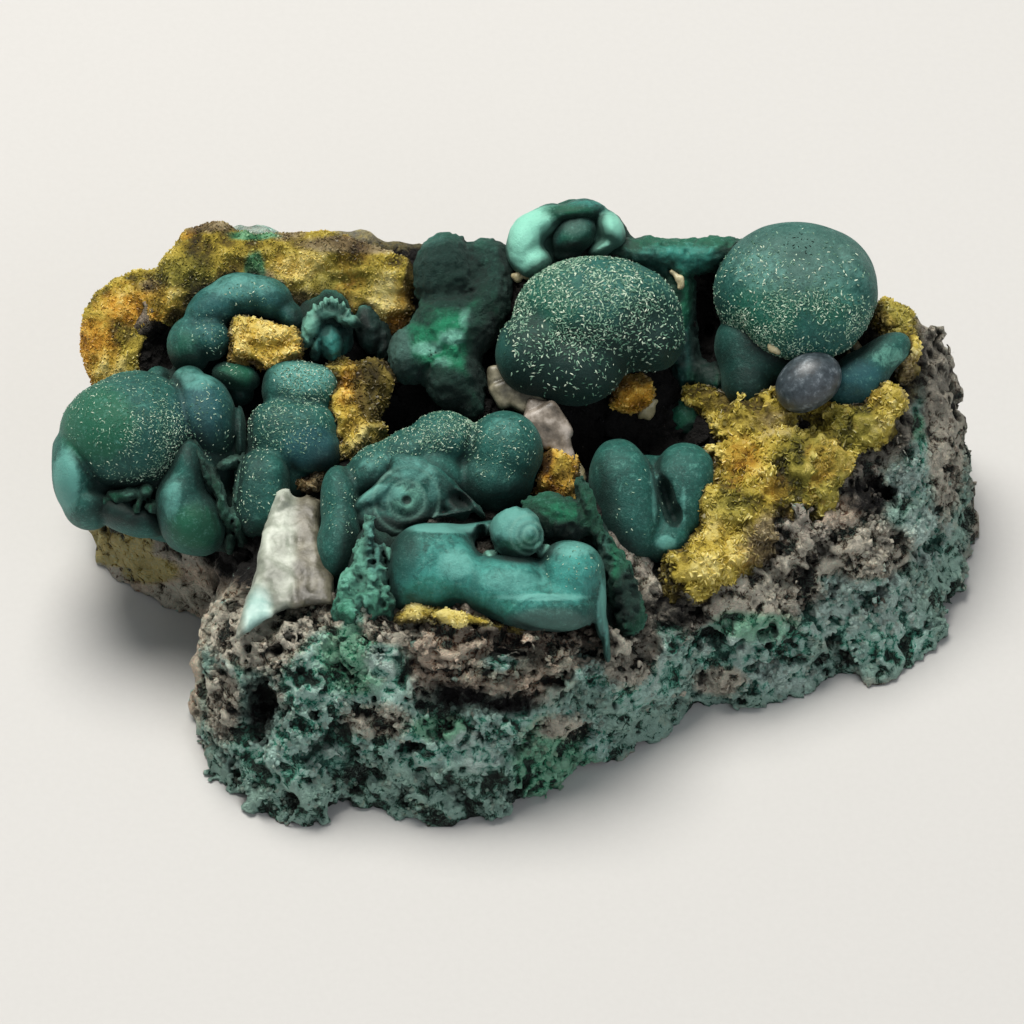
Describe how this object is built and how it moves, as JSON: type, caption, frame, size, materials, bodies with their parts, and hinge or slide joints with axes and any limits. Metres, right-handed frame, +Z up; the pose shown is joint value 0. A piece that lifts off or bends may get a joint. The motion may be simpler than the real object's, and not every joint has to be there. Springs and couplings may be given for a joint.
{
  "type": "malachite with wulfenite specimen",
  "caption": "Hand specimen of brown gossan lined with rounded velvety malachite growths, yellow wulfenite crusts and a pale calcite crystal, cut flat to rest.",
  "frame": {"origin": "on the flat cut that the specimen rests on, under the middle of the specimen", "axes": "+X to the viewer's right along the specimen's width, +Y away from the viewer, +Z up"},
  "size_m": [0.1012, 0.0623, 0.0381],
  "materials": {
    "gossan": "rough broken rock stained brown and green",
    "malachite": "velvety satin, dark bluish green",
    "green_malachite": "fibrous satin, deep green",
    "pale_malachite": "satin, mint green",
    "wulfenite": "small glossy crystals, honey yellow",
    "calcite": "frosted, off-white",
    "quartz": "frosted, grey",
    "dark_bead": "dusty gloss, slate blue"
  },
  "bodies": {
    "root": {"gossan_matrix": "gossan", "malachite_left_dome": "malachite", "malachite_left_arch": "malachite", "malachite_pocket_lump": "malachite", "malachite_twin_lump": "malachite", "malachite_banded_curl": "malachite", "malachite_tall_column": "green_malachite", "malachite_top_crest": "pale_malachite", "malachite_centre_ball": "malachite", "malachite_right_ball": "malachite", "malachite_right_leaf": "malachite", "malachite_bean_pair": "malachite", "malachite_front_crescent": "malachite", "malachite_green_curtain": "green_malachite", "malachite_small_ball": "malachite", "malachite_front_lobes": "malachite", "malachite_spike": "pale_malachite", "dark_bead": "dark_bead", "quartz_upper": "quartz", "quartz_lower": "quartz", "calcite_crystal": "calcite", "wulfenite_pad_left": "wulfenite", "wulfenite_pad_middle": "wulfenite", "wulfenite_pad_knob": "wulfenite", "wulfenite_pad_ball": "wulfenite", "wulfenite_crumbs": "wulfenite", "wulfenite_left_crust": "wulfenite", "wulfenite_right_crust": "wulfenite", "wulfenite_front_rim": "wulfenite"}
  },
  "joints": []
}
